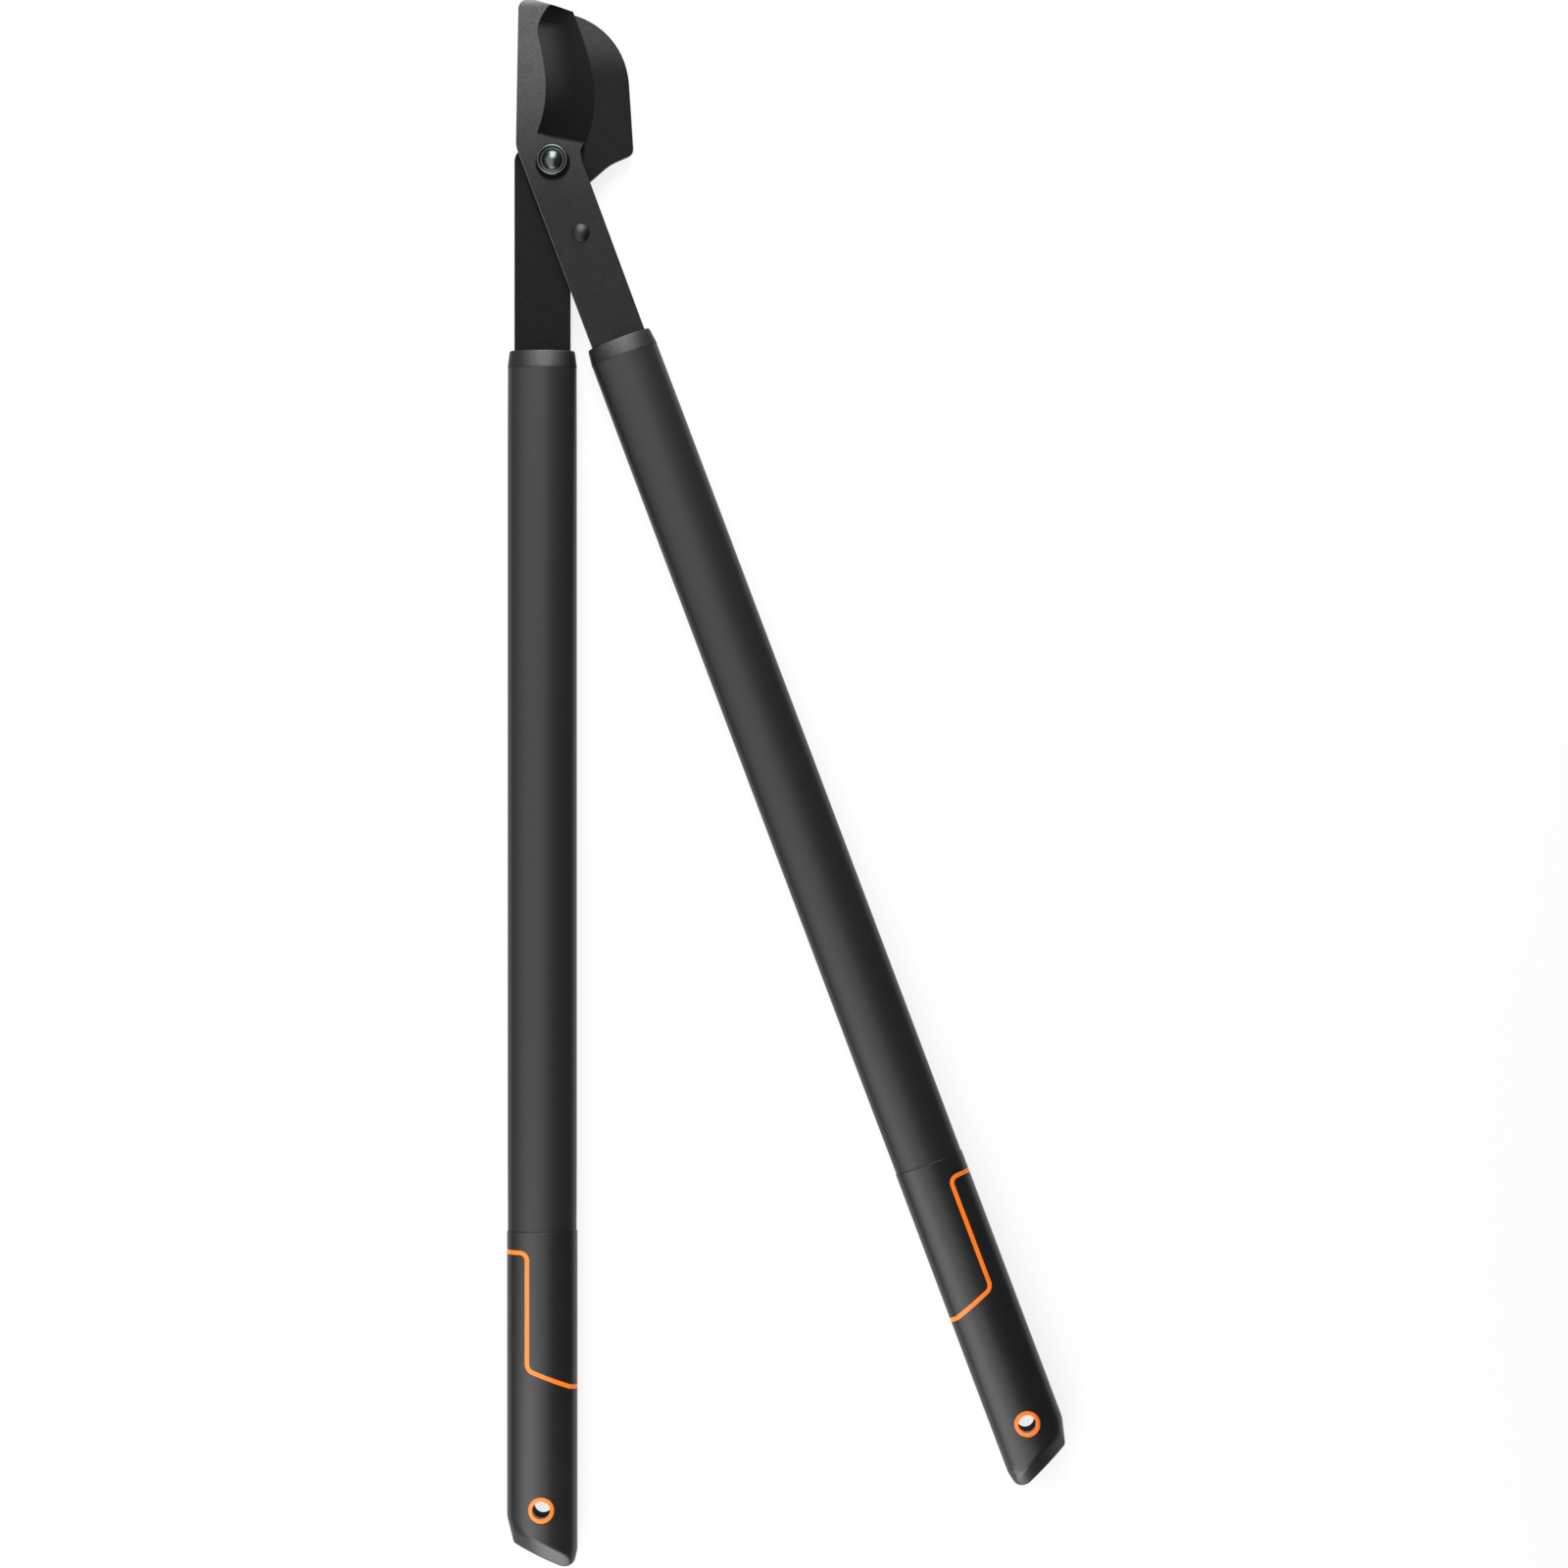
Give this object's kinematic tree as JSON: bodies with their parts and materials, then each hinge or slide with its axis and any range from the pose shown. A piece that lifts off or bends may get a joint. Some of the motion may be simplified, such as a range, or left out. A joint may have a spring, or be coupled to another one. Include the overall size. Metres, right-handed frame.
{
  "type": "bypass loppers",
  "caption": "Long-handled bypass loppers with a curved bevelled blade, a hooked counter blade, oval tube handles and grips with a seam line and a hang hole.",
  "frame": {"origin": "on the floor, under the middle of the whole outline, with the tool lying flat and closed", "axes": "+Z is the front face with the domed bolt, +Y runs to the head along the hook's handle, +X is to the right seen from the front, the blade's handle being on that side"},
  "size_m": [0.2848, 0.799, 0.0226],
  "materials": {
    "blade_coated_steel": "thin dark low-friction coating on hardened steel, satin",
    "hook_coated_steel": "dark coated steel, satin",
    "bolt_plated_steel": "polished plating",
    "washer_plated_steel": "dark plated, semi-bright",
    "rivet_blackened_steel": "blackened, satin",
    "bumper_rubber": "moulded rubber, matte",
    "pin_steel": "plain ground",
    "collar_plastic": "moulded, fine sparked texture",
    "tube_coated_aluminium": "dark grey powder coat, satin",
    "core_plastic": "moulded, plain",
    "cover_plastic": "moulded, fine grained",
    "grip_soft_plastic": "soft-touch moulded, fine grained",
    "accent_plastic": "orange moulded, semi-gloss"
  },
  "bodies": {
    "hook_handle": {"hook_blade": "hook_coated_steel", "pivot_bolt": "bolt_plated_steel", "cup_washer": "washer_plated_steel", "rear_washer": "washer_plated_steel", "lock_nut": "washer_plated_steel", "left_collar": "collar_plastic", "left_tang_pins": "pin_steel", "left_tube": "tube_coated_aluminium", "left_grip_core": "core_plastic", "left_upper_cover": "cover_plastic", "left_lower_cover": "grip_soft_plastic", "left_accent_seam": "accent_plastic", "left_hang_ring": "accent_plastic"},
    "blade_handle": {"cutting_blade": "blade_coated_steel", "stop_rivet": "rivet_blackened_steel", "stop_bumper": "bumper_rubber", "right_collar": "collar_plastic", "right_tang_pins": "pin_steel", "right_tube": "tube_coated_aluminium", "right_grip_core": "core_plastic", "right_upper_cover": "cover_plastic", "right_lower_cover": "grip_soft_plastic", "right_accent_seam": "accent_plastic", "right_hang_ring": "accent_plastic"}
  },
  "joints": [
    {"name": "pivot", "type": "hinge", "parent": "hook_handle", "child": "blade_handle", "pos_m": [-0.11905, 0.31715, 0.0113], "axis": [0, 0, 1], "range_deg": [0, 64]}
  ]
}
